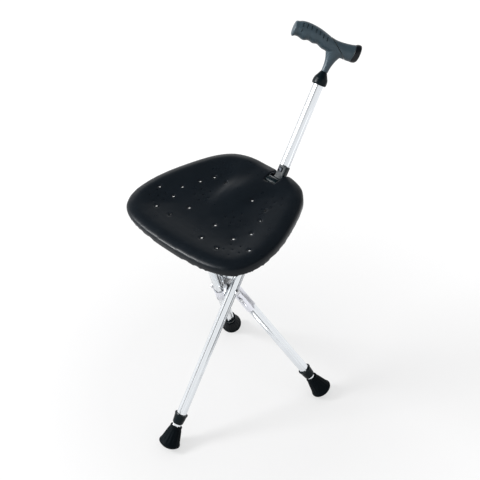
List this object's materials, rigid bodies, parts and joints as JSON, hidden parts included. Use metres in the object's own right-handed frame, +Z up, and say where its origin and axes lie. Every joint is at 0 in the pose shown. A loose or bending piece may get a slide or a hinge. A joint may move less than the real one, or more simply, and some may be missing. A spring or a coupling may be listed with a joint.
{
  "type": "walking stick seat",
  "caption": "Walking stick that opens into a tripod stool: a moulded saddle seat hinged to the long main leg, crossing side legs on a hub, a T-shaped handle and rubber feet.",
  "frame": {"origin": "on the floor, straight below the hub where the legs cross", "axes": "+Z up; +X towards the handle, along the floor line of the long main leg; +Y towards the rear leg's side"},
  "size_m": [0.506, 0.3152, 0.7246],
  "materials": {
    "polished_aluminium": "bright anodised",
    "satin_aluminium": "satin",
    "steel_hardware": "satin zinc plated",
    "black_plastic": "satin",
    "seat_plastic": "fine satin grain",
    "handle_plastic": "satin",
    "black_rubber": "matte"
  },
  "bodies": {
    "main_frame": {"main_tube": "polished_aluminium", "main_bush": "black_plastic", "handle_grip": "handle_plastic", "handle_end_piece": "handle_plastic", "handle_end_cap": "handle_plastic", "handle_collar": "black_plastic", "handle_stem": "steel_hardware", "seat_lug": "black_plastic", "lug_screws": "steel_hardware"},
    "hub": {"hub_spider": "steel_hardware", "hub_washers": "steel_hardware", "hub_nuts": "steel_hardware"},
    "rear_leg": {"rear_tube": "polished_aluminium", "rear_sleeve": "satin_aluminium", "rear_sleeve_screw": "steel_hardware", "rear_bush": "black_plastic", "rear_top_cap": "black_plastic"},
    "right_leg": {"right_tube": "polished_aluminium", "right_sleeve": "satin_aluminium", "right_sleeve_screw": "steel_hardware", "right_bush": "black_plastic", "right_top_cap": "black_plastic"},
    "main_lower_leg": {"main_lower_tube": "polished_aluminium", "main_expander": "black_plastic", "main_foot": "black_rubber"},
    "rear_lower_leg": {"rear_lower_tube": "polished_aluminium", "rear_expander": "black_plastic", "rear_foot": "black_rubber"},
    "right_lower_leg": {"right_lower_tube": "polished_aluminium", "right_expander": "black_plastic", "right_foot": "black_rubber"},
    "seat": {"seat_shell": "seat_plastic", "hinge_pin": "steel_hardware", "pin_clip": "steel_hardware"}
  },
  "joints": [
    {"name": "seat_lift", "type": "hinge", "parent": "main_frame", "child": "seat", "pos_m": [0.10299, -0.016, 0.47604], "axis": [0, 1, 0], "range_deg": [0, 70]},
    {"name": "hub_fold", "type": "hinge", "parent": "main_frame", "child": "hub", "pos_m": [0, -0.016, 0.284], "axis": [0, 1, 0], "range_deg": [0, 29.5]},
    {"name": "rear_fold", "type": "hinge", "parent": "hub", "child": "rear_leg", "pos_m": [-0.00996, 0.01252, 0.284], "axis": [-0.6225, 0.7826, 0], "range_deg": [0, 29.5]},
    {"name": "right_fold", "type": "hinge", "parent": "hub", "child": "right_leg", "pos_m": [0.01294, 0.0094, 0.284], "axis": [0.809, 0.5878, 0], "range_deg": [0, 29.5]},
    {"name": "main_extend", "type": "slide", "parent": "main_frame", "child": "main_lower_leg", "axis": [-0.5592, 0, -0.829], "range_m": [0, 0.06]},
    {"name": "rear_extend", "type": "slide", "parent": "rear_leg", "child": "rear_lower_leg", "axis": [0.4376, 0.3481, -0.829], "range_m": [0, 0.06]},
    {"name": "right_extend", "type": "slide", "parent": "right_leg", "child": "right_lower_leg", "axis": [0.3287, -0.4524, -0.829], "range_m": [0, 0.06]}
  ],
  "couplings": [
    {"joint": "hub_fold", "follows": "seat_lift", "ratio": 0.42143},
    {"joint": "rear_fold", "follows": "seat_lift", "ratio": 0.42143},
    {"joint": "right_fold", "follows": "seat_lift", "ratio": 0.42143}
  ]
}
